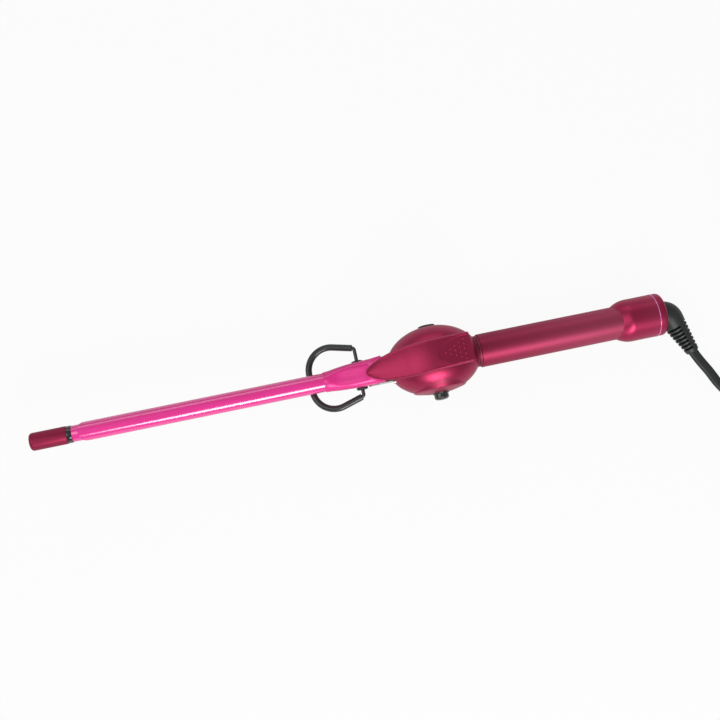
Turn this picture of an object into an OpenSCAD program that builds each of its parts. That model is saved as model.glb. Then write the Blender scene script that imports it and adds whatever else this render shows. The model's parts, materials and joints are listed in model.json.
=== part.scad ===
/* [Barrel] */
// Outside diameter of the heated barrel
barrel_d = 9; // [8.5:0.1:9.2]
// Wall of the barrel tube
barrel_wall = 0.6; // [0.4:0.1:0.8]
// Length of the plastic tip cap
tip_len = 19.9; // [17:0.1:21]
// Outside diameter of the tip cap
tip_d = 9.8; // [9.4:0.1:10.4]
// Length of the spacer ring behind the tip cap
spacer_len = 2.7; // [2:0.1:3.4]

/* [Clip] */
// Gap between the barrel and the closed clip
clip_gap = 0.25; // [0.2:0.05:0.35]
// Thickness of the clip's sheet metal
clip_sheet = 0.5; // [0.4:0.1:0.6]
// Where the clip starts, from the tip
clip_start = 27.3; // [25:0.1:40]
// Half width of the clip's base at the ears
base_half = 7.2; // [7:0.1:7.6]
// Slope of the lever's front, in degrees
lever_slope = 27; // [26:0.5:28]
// Width of the thumb lever
lever_w = 17.2; // [16.6:0.1:17.6]
// Length of the lever's rounded nose
lever_nose = 22; // [20:0.5:26]

/* [Pivot and stand] */
// Distance from the tip to the pivot
pivot_s = 182.7; // [182:0.1:183]
// Diameter of a pivot bushing's flange
bushing_d = 6.3; // [5.6:0.1:6.6]
// Diameter of the stand's wire
wire_d = 2; // [1.6:0.1:2]
// Outside diameter of the stand's sleeve
sleeve_d = 3.3; // [3:0.1:3.4]
// Half width of the stand, to the wire's centre
stand_half = 17.3; // [16.5:0.1:18]
// Length of the stand, from the pivot to the bow
stand_len = 27.8; // [27:0.1:29]

/* [Pod] */
// Distance from the tip to the pod's centre
pod_s = 225.2; // [225:0.1:225.4]
// Half the full length of the pod's oval
pod_a = 26.6; // [26:0.1:27]
// Radius of the pod across its middle
pod_b = 19.3; // [19:0.1:19.6]
// Half the length that is left of the pod's oval
pod_cut = 23.6; // [23.2:0.1:23.8]
// Wall of the plastic shells
shell = 2; // [1.8:0.1:2.2]
// Distance from the pod's centre to its flat foot
foot_h = 18.3; // [18:0.1:18.6]
// Radius of the raised side cover
cover_r = 15.2; // [14.6:0.1:15.4]
// Radius of the power button
button_r = 4.1; // [3.6:0.1:4.2]
// Radius of the temperature dial
dial_r = 4.8; // [4.2:0.1:5]
// Grip teeth round the dial
dial_teeth = 24; // [12:2:32]

/* [Handle] */
// Outside diameter of the handle tube
handle_d = 18.8; // [18.4:0.1:19]
// Distance from the tip to the end cap's front
cap_s = 331.3; // [325:0.1:334]
// Distance from the tip to the end cap's seam ring
seam_s = 354.3; // [353:0.1:355]
// Distance from the tip to the handle's rear end
end_s = 359.4; // [359.2:0.1:359.6]
// Outside diameter of the end cap
cap_d = 24.3; // [23.8:0.1:24.6]

/* [Cord] */
// Width of the mains cord
cord_d = 5.4; // [5:0.1:5.6]
// Thickness of the flat cord, as its turns lie side by side
cord_thick = 3.5; // [3.2:0.1:3.8]
// Length of the hank's straight runs
hank_run = 88; // [81:1:92]
// Radius of the hank's outer turn, to the cord's centre
hank_r = 20; // [19.6:0.1:20.4]

/* [Hidden] */
$fn = 64;
tiny = 0.01;

// Radii along the rod
barrel_r = barrel_d / 2;
bore_r = barrel_r - barrel_wall;
clip_in = barrel_r + clip_gap;
clip_out = clip_in + clip_sheet;
handle_r = handle_d / 2;
cap_r = cap_d / 2;
core_r = 7.6;
core_bore = 6.2;
liner_bore = handle_r + 0.05;

// Stations along the rod, from the tip
barrel_start = tip_len + spacer_len;
barrel_end = 212;
spoon_end = 166;
base_start = 160;
base_end = 189;
pod_front = pod_s - pod_cut;
pod_rear = pod_s + pod_cut;
handle_start = pod_rear + 2.4;
contact_s = end_s - 1.5;
elbow_s = end_s + 4;

// The iron lies on the pod's foot and the end cap, so the rod is tilted to that line
reach = contact_s - pod_s;
tilt = asin(foot_h / norm([reach, cap_r])) - atan(cap_r / reach);
lift = foot_h + pod_s * sin(tilt);
origin_x = 179.35;
origin_y = -1.35;

// Side levels of the pod's fittings, from the middle
cover_face = 17.1;
boss_face = 18.7;
button_face = 22.7;
dial_face = 20;

// The lever's sloped line, from its lower front corner
slope_from = [186, 9.2];
slope_len = 22.5;
slope_to = slope_from + slope_len * [cos(lever_slope), sin(lever_slope)];

// Ears and bushings, from the middle
ear_in = 5.9;
ear_out = 6.5;
flange_in = 6.65;
flange_out = 8.25;
shank_r = 2.05;
wire_r = wire_d / 2;
fold = asin((barrel_r + sleeve_d / 2 + 0.4) / stand_len);

// Route of the cord from the strain relief to the hank, on the table
lead_route = [
    [195, -23, 6], [198, -29, 5.2], [202, -36, 4.2], [206, -44, 3.4], [211, -51, 2.8],
    [218, -57, 2.8], [227, -60.6, 3], [238, -61, 3.4], [248, -60.4, 3.6], [256, -60, 3.6]
];
hank_x = 310;
hank_y = -40;
hank_base = 0.9;
hank_h = 3 * cord_d;
hank_top = hank_base + hank_h;
hank_waist = 2 * cord_thick + 0.4;
tie_sheet = 0.8;
plug_y = hank_y + 3;
plug_z = hank_top + 7;
plug_grip = 35;
grip_start = hank_x - 8;

// Route of the cord from the top of the hank to the plug
tail_route = [
    [367, -31, 16.4], [362, -26.5, 17.4], [355, -24.2, 18.8], [347, -25.2, 20.6],
    [339, -29, 22.4], [331.5, -33.8, 23.6], [324, -37, 24.1]
];

function unit(v) = v / norm(v);
function along(path, i) = unit(path[min(i + 1, len(path) - 1)] - path[max(i - 1, 0)]);
function ring(c, t, r, sides) =
    let (side = unit(cross(t, [0, 0, 1])), up = cross(side, t))
    [for (k = [0:sides - 1]) c + r * (cos(360 * k / sides) * side + sin(360 * k / sides) * up)];
function oval_r(a, b, x) = b * sqrt(1 - pow(x / a, 2));
function oval(a, b, x0, x1, steps) =
    [for (i = [0:steps]) let (x = x0 + (x1 - x0) * i / steps) [oval_r(a, b, x), pod_s + x]];

// A closed tube of the given radius along a list of points
module sweep(path, r, sides) {
    last = len(path) - 1;
    points = [for (i = [0:last]) each ring(path[i], along(path, i), r, sides)];
    walls = [for (i = [0:last - 1], k = [0:sides - 1]) let (n = (k + 1) % sides)
        [i * sides + k, i * sides + n, (i + 1) * sides + n, (i + 1) * sides + k]];
    near = [for (k = [sides - 1:-1:0]) k];
    far = [for (k = [0:sides - 1]) last * sides + k];
    polyhedron(points, concat(walls, [near, far]), convexity = 10);
}

// Rod coordinates: +X from the tip to the handle, +Z on the clip's side
module rod() {
    translate([-origin_x, -origin_y, lift]) rotate([0, tilt, 0]) children();
}

// A turned body about the rod, from [radius, station] points
module lathe(points) {
    rotate([0, 90, 0]) rotate_extrude($fn = 96) polygon(points);
}

module pipe(s0, s1, r_out, r_in = 0) {
    translate([s0, 0, 0]) rotate([0, 90, 0]) difference() {
        cylinder(h = s1 - s0, r = r_out);
        if (r_in > 0) translate([0, 0, -1]) cylinder(h = s1 - s0 + 2, r = r_in);
    }
}

// A round bar across the rod, from y0 to y1
module cross_bar(s, z, y0, y1, r) {
    translate([s, y0, z]) rotate([-90, 0, 0]) cylinder(h = y1 - y0, r = r);
}

// A turned body about the pod's crosswise axis, from [radius, distance to the -Y side] points
module side_lathe(points) {
    translate([pod_s, 0, 0]) rotate([90, 0, 0]) rotate_extrude($fn = 96) polygon(points);
}

module block(low, high) {
    translate(low) cube(high - low);
}

module both_sides() {
    children();
    mirror([0, 1, 0]) children();
}

/* Barrel */

module tip_cap() {
    color("#6E2038") rod() union() {
        lathe([[0, 0], [3.2, 0], [4.1, 0.35], [4.65, 1.1], [tip_d / 2, 2.4],
            [tip_d / 2, tip_len], [0, tip_len]]);
        pipe(tip_len - 1, barrel_start + 9, bore_r);
    }
}

module tip_spacer() {
    color("#23262B") rod() pipe(tip_len, barrel_start, tip_d / 2 - 0.15, bore_r);
}

module barrel_tube() {
    color("#D81C8C") rod() pipe(barrel_start, barrel_end, barrel_r, bore_r);
}

module heater_core() {
    color("#E8E4DA") rod() pipe(36, 150, 2.4);
}

module heater_sleeve() {
    color("#C9B37A") rod() pipe(36, 150, 3.1, 2.45);
}

module heater_leads() {
    color("#D9D9D9") rod() both_sides() translate([0, 1.3, -0.8]) pipe(150, 218, 0.6);
}

module heat_sensor() {
    color("#3C6E8C") rod() translate([0, 0, 1.6]) pipe(151, 160, 1);
}

module barrel_holder() {
    color("#4A3B2C") rod() pipe(pod_front + 2.1, barrel_end + 2, 8, barrel_r);
}

/* Pivot, clip and lever */

module bracket_side() {
    difference() {
        block([178, 5, -6.2], [pod_front, 5.8, -1]);
        cross_bar(pivot_s, 0, 4, 7, shank_r);
    }
    difference() {
        block([179, 5, -1 - tiny], [187.4, 5.8, 2.9]);
        cross_bar(pivot_s, 0, 4, 7, shank_r);
    }
    block([186.8, 5.2, -3], [188.6, 7.2, -1.2]);
    block([188.2, 6.4, -3], [pod_front, 7.2, 2.4]);
    translate([pod_front - 0.9, 7.2, 0]) rotate([0, 90, 0]) cylinder(h = 0.9, r = 1.5);
}

module hinge_bracket() {
    color("#C4C8CC") rod() union() {
        both_sides() bracket_side();
        block([178, -5.8, -6.2], [pod_front, 5.8, -5.4]);
        both_sides() block([192, 6.4, 2.3], [199.5, 7.2, 5.6]);
        block([192, -7.2, 4.85], [199.5, 7.2, 5.6]);
    }
}

module pivot_bushings() {
    color("#1E2022") rod() both_sides() difference() {
        union() {
            cross_bar(pivot_s, 0, 5, flange_in + tiny, shank_r);
            cross_bar(pivot_s, 0, flange_in, flange_out, bushing_d / 2);
        }
        cross_bar(pivot_s, 0, 4, 9, wire_r + 0.05);
    }
}

module clip_spring() {
    turns = 5;
    low = 5.9;
    high = 11.6;
    steps = turns * 14;
    coil = [for (i = [0:steps]) let (a = 360 * turns * i / steps)
        [195.8 + 2.1 * cos(a), 2.1 * sin(a), low + (high - low) * i / steps]];
    color("#B8BCC0") rod() sweep(coil, 0.25, 6);
}

module clip_spoon() {
    color("#E0208F") rod() difference() {
        pipe(clip_start, spoon_end, clip_out, clip_in);
        block([clip_start - 1, -9, -9], [spoon_end + 1, 9, -0.4]);
        // the front end is rounded off towards the barrel
        translate([clip_start - 1, 0, 9.5]) rotate([90, 0, 0]) translate([0, 0, -9])
            cylinder(h = 18, r = 5);
    }
}

// Half-round slice of the clip's base, of a given half width and height
module arch(s, half, low, high, grow) {
    translate([s, 0, 0]) rotate([90, 0, 90]) linear_extrude(0.2, $fn = 32) intersection() {
        translate([0, low]) scale([half + grow, high - low + grow]) circle(1);
        translate([-9, low]) square([18, 20]);
    }
}

module clip_ear() {
    difference() {
        union() {
            cross_bar(pivot_s, 0, ear_in, ear_out, 3.1);
            block([pivot_s - 3.1, ear_in, 0], [187.6, ear_out, 4.6]);
        }
        cross_bar(pivot_s, 0, 4, 9, shank_r + 0.05);
    }
    block([176, ear_in, 3.6], [188, base_half, 4.6]);
}

module clip_base() {
    rise = slope_from + 0.4 * [0, 1];
    color("#FF2C92") rod() {
        union() {
            difference() {
                hull() {
                    arch(base_start, clip_out, 0, clip_out, 0.45);
                    arch(base_end - 14, base_half - 0.2, 2.4, 8, 0);
                }
                hull() {
                    arch(base_start - 1, clip_out, -1, clip_out, -0.05);
                    arch(base_end - 13, base_half - 0.9, 1, 7.4, 0);
                }
            }
            difference() {
                hull() {
                    arch(base_end - 14.2, base_half - 0.2, 2.4, 8, 0);
                    arch(base_end - 0.2, base_half, 4, 11.2, 0);
                }
                hull() {
                    arch(base_end - 16, base_half - 0.9, 1.4, 7.3, 0);
                    arch(base_end + 1, base_half - 0.7, 1.4, 10.6, 0);
                }
                // cut back under the lever's nose
                translate([slope_from[0], 0, slope_from[1]]) rotate([0, -lever_slope, 0])
                    block([-0.8, -9, 0], [9, 9, 9]);
            }
            both_sides() clip_ear();
            translate([rise[0], 0, rise[1]]) rotate([0, -lever_slope, 0])
                difference() {
                    block([-2, -4.6, -1.2], [slope_len - 1, 4.6, -0.4]);
                    for (at = rivet_at) translate([at, 0, -3]) cylinder(h = 6, r = 1.05);
                }
        }
    }
}
rivet_at = [6.5, 16.5];

// Side profile of the lever, from its front along the top and back along the underside
lever_profile = [
    [185.5, 10.6], [188.5, 12.6], [195, 16], [205, 21.2], [211, 24.7], [218, 27.2],
    [225, 28.4], [234, 29.2], [240, 29.3], [241.8, 28.6], [242.1, 27.4], [241.8, 26.3],
    [234, 26.3], [225, 25.8], [218, 24.6], [212, 22.3], slope_to, slope_from
];

// Outline of the lever from above: a long rounded nose and square shoulders
module lever_outline() {
    half = lever_w / 2;
    front = 185.3;
    rear = 242.2;
    translate([front + lever_nose, 0]) intersection() {
        scale([lever_nose / half, 1]) circle(half, $fn = 64);
        translate([-lever_nose, -half]) square([lever_nose, lever_w]);
    }
    translate([front + lever_nose - tiny, -half])
        square([rear - front - lever_nose - 2.9, lever_w]);
    translate([rear - 3, -half + 3]) square([3, lever_w - 6]);
    for (side = [-1, 1]) translate([rear - 3, side * (half - 3)]) circle(3);
}

module thumb_lever() {
    color("#A82C55") rod() difference() {
        intersection() {
            rotate([90, 0, 0]) translate([0, 0, -9.5]) linear_extrude(19) polygon(lever_profile);
            linear_extrude(40) lever_outline();
        }
        translate([slope_from[0], 0, slope_from[1]]) rotate([0, -lever_slope, 0])
            for (at = rivet_at) translate([at, 0, -1]) cylinder(h = 2.6, r = 1.04);
        // the thumb's dish
        translate([234.5, 0, 29.2 + 38.4]) sphere(40, $fn = 96);
    }
}

module lever_rivets() {
    color("#B8BCC0") rod() translate([slope_from[0], 0, slope_from[1]])
        rotate([0, -lever_slope, 0]) for (at = rivet_at) translate([at, 0, 0]) {
            translate([0, 0, -1.4]) cylinder(h = 2.9, r = 1);
            translate([0, 0, -1.4]) cylinder(h = 0.6, r = 1.8);
        }
}

/* Stand */

corner_r = 14;
bend_r = 2;
bend_at = [-bend_r, 12.6];
corner_at = [corner_r - stand_len, stand_half - corner_r];
bend_to_corner = bend_at - corner_at;
flare = atan2(bend_to_corner[0], bend_to_corner[1])
    - acos((corner_r - bend_r) / norm(bend_to_corner));

// One side's bend at the pivot, then its leg and corner, up to the bow's middle
bend_line = [for (i = [0:4]) let (a = (90 - flare) * i / 4)
    [bend_at[0] + bend_r * cos(a), bend_at[1] + bend_r * sin(a), 0]];
corner_line = [for (i = [0:10]) let (a = 90 - flare + (90 + flare) * i / 10)
    [corner_at[0] + corner_r * cos(a), corner_at[1] + corner_r * sin(a), 0]];
leg_line = concat([bend_line[4] + 0.12 * (corner_line[0] - bend_line[4])], corner_line);

function other_side(line) = [for (i = [len(line) - 1:-1:0]) [line[i][0], -line[i][1], line[i][2]]];
function both_ways(line) = concat(line, other_side(line));

// An open tube with a bore, swept along a list of points
module sweep_pipe(path, r, bore, sides) {
    last = len(path) - 1;
    round = 2 * sides;
    points = [for (i = [0:last]) each concat(ring(path[i], along(path, i), r, sides),
        ring(path[i], along(path, i), bore, sides))];
    outside = [for (i = [0:last - 1], k = [0:sides - 1]) let (n = (k + 1) % sides)
        [i * round + k, i * round + n, (i + 1) * round + n, (i + 1) * round + k]];
    inside = [for (i = [0:last - 1], k = [0:sides - 1]) let (n = (k + 1) % sides)
        [i * round + sides + n, i * round + sides + k,
            (i + 1) * round + sides + k, (i + 1) * round + sides + n]];
    near = [for (k = [0:sides - 1]) let (n = (k + 1) % sides) [n, k, sides + k, sides + n]];
    far = [for (k = [0:sides - 1]) let (n = (k + 1) % sides)
        [last * round + k, last * round + n, last * round + sides + n, last * round + sides + k]];
    polyhedron(points, concat(outside, inside, near, far), convexity = 10);
}

module at_stand() {
    rod() translate([pivot_s, 0, 0]) rotate([0, -fold, 0]) children();
}

module stand_wire() {
    color("#34383A") at_stand() {
        sweep(both_ways(concat([[0, 11, 0]], bend_line, leg_line)), wire_r - 0.02, 12);
        both_sides() cross_bar(0, 0, 5.2, 11.4, wire_r);
    }
}

module stand_sleeve() {
    color("#2A2E2E") at_stand() sweep_pipe(both_ways(leg_line), sleeve_d / 2, wire_r, 12);
}

/* Pod */

module pod_hollow() {
    lathe(concat([[0, pod_front + shell]],
        oval(pod_a - shell, pod_b - shell, -pod_cut + shell, pod_cut - shell, 16),
        [[0, pod_rear - shell]]));
}

module pod_shape() {
    lathe(concat([[0, pod_front]], oval(pod_a, pod_b, -pod_cut, pod_cut, 24), [[0, pod_rear]]));
}

screw_at = [[217, 7.6], [217, -7.6], [240, 7.6], [240, -7.6]];

module pod_wall() {
    difference() {
        pod_shape();
        pod_hollow();
        pipe(pod_front - 1, pod_front + 3, barrel_r + 0.05);
        pipe(pod_rear - 3, pod_rear + 1, core_r);
        side_lathe([[0, 6], [cover_r + 0.05, 6], [cover_r + 0.05, 26], [0, 26]]);
        cross_bar(pod_s, 0, 12, 24, dial_r + 0.3);
    }
}

module pod_top() {
    color("#8C2C4C") rod() difference() {
        union() {
            intersection() {
                pod_wall();
                block([190, -25, 0], [260, 25, 25]);
            }
            for (at = screw_at) intersection() {
                translate([at[0], at[1], 0.4]) cylinder(h = 18, r = 3);
                scaled_pod();
            }
        }
        for (at = screw_at) translate([at[0], at[1], -1]) cylinder(h = 8, r = 1.3);
    }
}

// The pod's outside drawn in to the middle of its wall, which the bosses end in
module scaled_pod() {
    lathe(concat([[0, pod_front]], oval(pod_a - 1, pod_b - 1, -pod_cut, pod_cut, 16), [[0, pod_rear]]));
}

module pod_bottom() {
    color("#8C2C4C") rod() difference() {
        union() {
            intersection() {
                pod_wall();
                block([190, -25, -25], [260, 25, 0]);
            }
            for (at = screw_at) intersection() {
                translate([at[0], at[1], -18]) cylinder(h = 17.6, r = 3);
                scaled_pod();
            }
        }
        for (at = screw_at) translate([at[0], at[1], -20]) {
            cylinder(h = 25, r = 1.3);
            cylinder(h = 8.6, r = 2.4);
        }
        translate([pod_s, 0, 0]) rotate([0, -tilt, 0]) block([-15, -15, -foot_h - 5], [15, 15, -foot_h]);
    }
}

module pod_screws() {
    color("#9A9EA2") rod() for (at = screw_at) translate([at[0], at[1], 0]) difference() {
        union() {
            translate([0, 0, -11.4]) cylinder(h = 17, r = 1.3);
            translate([0, 0, -13.2]) cylinder(h = 1.8, r = 2.3);
        }
        for (turn = [0, 90]) rotate([0, 0, turn]) block([-1.3, -0.25, -14], [1.3, 0.25, -12.4]);
    }
}

module side_cover() {
    color("#962F52") rod() side_lathe([
        [cover_r - 1.6, 11.2], [cover_r, 11.2], [cover_r, cover_face - 0.4],
        [cover_r - 0.4, cover_face], [11.6, cover_face], [11.2, cover_face + 0.6],
        [8, boss_face - 0.2], [4.6, boss_face], [button_r + 0.35, boss_face],
        [button_r + 0.35, boss_face - 3], [cover_r - 1.6, cover_face - 1.8]
    ]);
}

module button_collar() {
    color("#17191B") rod() side_lathe([
        [button_r + 0.1, boss_face - 2.6], [button_r + 0.35, boss_face - 2.6],
        [button_r + 0.35, boss_face], [button_r + 0.6, boss_face],
        [button_r + 0.4, boss_face + 0.5], [button_r + 0.1, boss_face + 0.5]
    ]);
}

module power_button() {
    color("#141618") rod() side_lathe([
        [0, 14.2], [1.6, 14.2], [1.6, 14.7], [5, 14.7], [5, 15.3], [button_r, 15.3],
        [button_r, button_face - 1.2], [button_r - 0.5, button_face - 0.4],
        [button_r - 1.6, button_face - 0.05], [0, button_face]
    ]);
}

module power_switch() {
    color("#303438") rod() block([221, -12.8, -5], [229.5, -6.4, 5]);
}

module temperature_dial() {
    color("#1A1C1E") rod() union() {
        difference() {
            cross_bar(pod_s, 0, 16.4, dial_face, dial_r);
            for (k = [0:dial_teeth - 1]) translate([pod_s, 0, 0]) rotate([0, 360 * k / dial_teeth, 0])
                translate([dial_r + 0.15, 15, 0]) rotate([-90, 0, 0]) cylinder(h = 8, r = 0.42, $fn = 16);
            block([pod_s - 0.35, dial_face - 0.5, 0.8], [pod_s + 0.35, dial_face + 1, 4]);
        }
        cross_bar(pod_s, 0, 8.5, 16.5, 1.5);
    }
}

module potentiometer() {
    color("#3A5A46") rod() difference() {
        union() {
            block([220.8, 5, -4.5], [229.6, 11, 4.5]);
            cross_bar(pod_s, 0, 10.9, 14, 2.6);
        }
        cross_bar(pod_s, 0, 8, 15, 1.56);
    }
}

module circuit_board() {
    color("#2F6B3A") rod() block([221, -9.5, -10.4], [236, 9.5, -8.8]);
}

module board_parts() {
    color("#C98A2C") rod() {
        block([231, -9, -8.8], [235, -3, -3.4]);
        translate([233.4, 2, -8.8]) cylinder(h = 6, r = 2);
        block([230.6, 5, -8.8], [235.4, 9, -5.8]);
    }
}

module mains_wires() {
    color("#7A4A30") rod() both_sides() translate([0, 2.4, 0]) pipe(237, 344.8, 1.1);
}

/* Handle */

module front_collar() {
    color("#4A1A2C") rod() pipe(pod_rear, handle_start, 8.95, core_r);
}

module handle_tube() {
    color("#7C2844") rod() pipe(handle_start, cap_s + 5, handle_r, core_r);
}

module handle_core() {
    color("#3A3A3C") rod() pipe(pod_rear - 4, cap_s + 14, core_r, core_bore);
}

module end_cap() {
    color("#7C2844") rod() lathe([
        [liner_bore, cap_s], [handle_r + 0.3, cap_s], [10.1, cap_s + 0.9], [10.8, cap_s + 2.2],
        [11.4, cap_s + 3.6], [11.85, cap_s + 5.2], [cap_r - 0.05, cap_s + 7], [cap_r, cap_s + 9],
        [cap_r, seam_s], [10.2, seam_s], [10.2, cap_s + 10], [liner_bore, cap_s + 6]
    ]);
}

module seam_ring() {
    color("#F0308C") rod() pipe(seam_s, seam_s + 1, cap_r + 0.15, 10.2);
}

module end_collar() {
    color("#7C2844") rod() lathe([
        [10.2, seam_s + 1], [cap_r, seam_s + 1], [cap_r, contact_s], [cap_r - 0.5, contact_s + 0.9],
        [cap_r - 1.5, end_s], [5.07, end_s], [5.07, end_s - 2.3], [10.2, end_s - 2.3]
    ]);
}

module contact_carrier() {
    color("#5A4632") rod() pipe(cap_s + 14, cap_s + 18, 10.2);
}

module contact_rings() {
    color("#C8A24A") rod() {
        pipe(cap_s + 18, cap_s + 18.6, 6.6, 5.2);
        pipe(cap_s + 18, cap_s + 18.6, 2.6, 0.8);
    }
}

/* Swivelling strain relief, with its elbow ball on the rod and its cone towards the cord */

relief_ball = 7;
relief_root_r = 6.9;
relief_end_r = 3.5;
relief_neck = 5;

// A point of the rod in the table's coordinates
function on_table(p) = [
    p[0] * cos(tilt) + p[2] * sin(tilt) - origin_x,
    p[1] - origin_y,
    p[2] * cos(tilt) - p[0] * sin(tilt) + lift
];
elbow = on_table([elbow_s, 0, 0]);
relief_line = lead_route[0] - elbow;
relief_len = norm(relief_line);
relief_turn = atan2(relief_line[1], relief_line[0]);
relief_drop = acos(relief_line[2] / relief_len);

relief_slots = 6;
function relief_r(t) = relief_root_r + (relief_end_r - relief_root_r) * t / relief_len;
relief_profile = concat(
    [[0, -relief_ball]],
    [for (a = [-75:15:15]) [relief_ball * cos(a), relief_ball * sin(a)]],
    [for (k = [0:relief_slots - 1]) let (t = 9.5 + 2.5 * k) each [
        [relief_r(t), t], [relief_r(t) - 1.1, t], [relief_r(t) - 1.1, t + 1.1], [relief_r(t + 1.1), t + 1.1]
    ]],
    [[relief_end_r, relief_len], [0, relief_len]]
);

module strain_relief() {
    color("#24282A") {
        difference() {
            translate(elbow) rotate([0, relief_drop, relief_turn])
                rotate_extrude() polygon(relief_profile);
            rod() block([end_s - 9, -12, -12], [end_s + 0.4, 12, 12]);
        }
        rod() pipe(end_s - 4, elbow_s, relief_neck);
        rod() pipe(end_s - 4.9, end_s - 2.9, 7.5);
    }
}

module contact_pins() {
    color("#C8A24A") rod() {
        translate([0, 0, 5.9]) pipe(cap_s + 18.9, end_s - 4.9, 0.5);
        pipe(cap_s + 18.9, end_s - 4.9, 1.2);
    }
}

/* Cord, hank and plug */

module cord_lead() {
    color("#1C1F22") sweep(lead_route, cord_d / 2, 10);
}

// Outline of the hank: two round ends and sides drawn in to the tie
module hank_outline() {
    outer = hank_r + cord_thick / 2;
    waist = hank_waist;
    half = hank_run / 2;
    for (side = [-1, 1]) translate([side * half, 0]) circle(outer);
    polygon([
        [-half, -outer], [-14, -waist], [14, -waist], [half, -outer],
        [half, outer], [14, waist], [-14, waist], [-half, outer]
    ]);
}

module cord_hank() {
    color("#1C1F22") translate([hank_x, hank_y, hank_base]) linear_extrude(hank_h) hank_outline();
}

module hank_tie() {
    half = hank_waist;
    color("#2A2A2C") translate([hank_x, hank_y, 0]) difference() {
        block([-5, -half - tie_sheet, hank_base - tie_sheet], [5, half + tie_sheet, hank_top + tie_sheet]);
        block([-6, -half, hank_base], [6, half, hank_top]);
    }
}

module cord_tail() {
    color("#1C1F22") sweep(tail_route, cord_d / 2, 10);
}

module plug_relief() {
    color("#1C1F22") translate([grip_start, plug_y, plug_z]) rotate([0, 90, 0])
        cylinder(h = tail_route[6][0] - grip_start, r1 = 5, r2 = 3.3);
}

module plug_body() {
    color("#1C1F22") translate([grip_start - plug_grip, plug_y, plug_z])
        rotate([90, 0, 90]) linear_extrude(plug_grip)
        polygon([[-17.6, 0], [-13, 6.9], [13, 6.9], [17.6, 0], [13, -6.9], [-13, -6.9]]);
}

module plug_pins() {
    color("#C9CCCE") for (side = [-1, 1])
        translate([grip_start - plug_grip, plug_y + side * 9.3, plug_z]) rotate([0, -90, 0]) {
            cylinder(h = 18, r = 2);
            translate([0, 0, 18]) cylinder(h = 1, r1 = 2, r2 = 1.2);
        }
}

tip_cap();
tip_spacer();
barrel_tube();
heater_core();
heater_sleeve();
heater_leads();
heat_sensor();
barrel_holder();
hinge_bracket();
pivot_bushings();
clip_spring();
clip_spoon();
clip_base();
thumb_lever();
lever_rivets();
stand_wire();
stand_sleeve();
pod_top();
pod_bottom();
pod_screws();
side_cover();
button_collar();
power_button();
power_switch();
temperature_dial();
potentiometer();
circuit_board();
board_parts();
mains_wires();
front_collar();
handle_tube();
handle_core();
end_cap();
seam_ring();
end_collar();
contact_carrier();
contact_rings();
strain_relief();
contact_pins();
cord_lead();
cord_hank();
cord_tail();
hank_tie();
plug_relief();
plug_body();
plug_pins();
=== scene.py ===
import json
import math

import bmesh
import bpy
from mathutils import Matrix, Vector


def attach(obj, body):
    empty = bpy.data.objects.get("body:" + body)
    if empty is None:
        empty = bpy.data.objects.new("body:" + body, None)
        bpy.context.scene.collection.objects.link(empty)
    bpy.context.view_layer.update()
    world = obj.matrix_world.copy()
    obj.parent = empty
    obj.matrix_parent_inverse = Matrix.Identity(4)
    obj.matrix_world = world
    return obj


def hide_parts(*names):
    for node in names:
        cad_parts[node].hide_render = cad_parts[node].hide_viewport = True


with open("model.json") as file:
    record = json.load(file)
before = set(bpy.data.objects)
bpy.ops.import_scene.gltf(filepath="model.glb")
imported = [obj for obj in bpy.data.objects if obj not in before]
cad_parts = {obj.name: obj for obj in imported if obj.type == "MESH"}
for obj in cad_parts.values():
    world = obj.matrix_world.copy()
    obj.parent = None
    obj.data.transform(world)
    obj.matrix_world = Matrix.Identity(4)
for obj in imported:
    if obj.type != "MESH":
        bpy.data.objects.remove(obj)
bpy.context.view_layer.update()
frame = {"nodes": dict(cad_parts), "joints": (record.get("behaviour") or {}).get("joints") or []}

# ---------------- sizes, in millimetres
MM = 0.001
TIP_START = 1.0
TIP_END = 21.0
TIP_PLUG_END = 31
TIP_R = 4.9
SPACER_END = 23.7
SPACER_R = 4.76
BARREL_END = 212
BARREL_R = 4.5
BORE_R = 3.92
CLIP_IN = 4.75
CLIP_OUT = 5.25
CLIP_START = 27.3
CLIP_END = 164
PIVOT = 182.7
POD = 225.2
POD_A = 26.6
POD_B = 19.3
POD_CUT = 23.6
POD_SQUARE = 2.4
POD_MOUTH_R = 7.4
SHELL = 2.0
FOOT = 18.3
COVER_R = 15.2
COVER_FACE = 17.1
BOSS_FACE = 18.7
BUTTON_FACE = 22.7
BUTTON_R = 4.1
DIAL_R = 4.8
DIAL_FACE = 20.0
DIGIT_RING = 10.6
HANDLE_R = 9.4
HANDLE_BORE = 7.7
NECK_R = 8.75
HANDLE_START = 251.2
CAP_START = 331.3
CAP_R = 12.15
CAP_FLARE = 8.4
CAP_BORE = 10.2
SEAM = 354.3
SEAM_END = 354.85
REAR = 359.4
ELBOW = 363.4
CORD_LOOK = 5.7
CORD_THICK = 3.5
HANK_X = 310
HANK_Y = -40
HANK_BASE = 0.9
HANK_R = 20
HANK_INNER_R = 16.2
HANK_RUN = 88
HANK_WAIST = 7.4
LAYER = 5.4
PLUG_Y = HANK_Y + 3
PLUG_Z = HANK_BASE + 3 * LAYER + 7
GRIP_START = HANK_X - 8
GRIP_LENGTH = 35
PIN_APART = 9.3
PIN_R = 2.0
PIN_SLEEVE_R = 2.12

hinges = {joint["name"]: joint for joint in frame["joints"]}
pivot_place = Vector(hinges["clip_hinge"]["pos_m"])
rod_x = Vector(hinges["cord_swivel"]["axis"]).normalized()
rod_y = Vector((0, 1, 0))
rod_z = rod_x.cross(rod_y)


def on_rod(s, y, z):
    """A point given from the tip along the rod, across it and above it, in metres."""
    return pivot_place + ((s - PIVOT) * rod_x + y * rod_y + z * rod_z) * MM


def on_table(x, y, z):
    return Vector((x, y, z)) * MM


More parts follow.
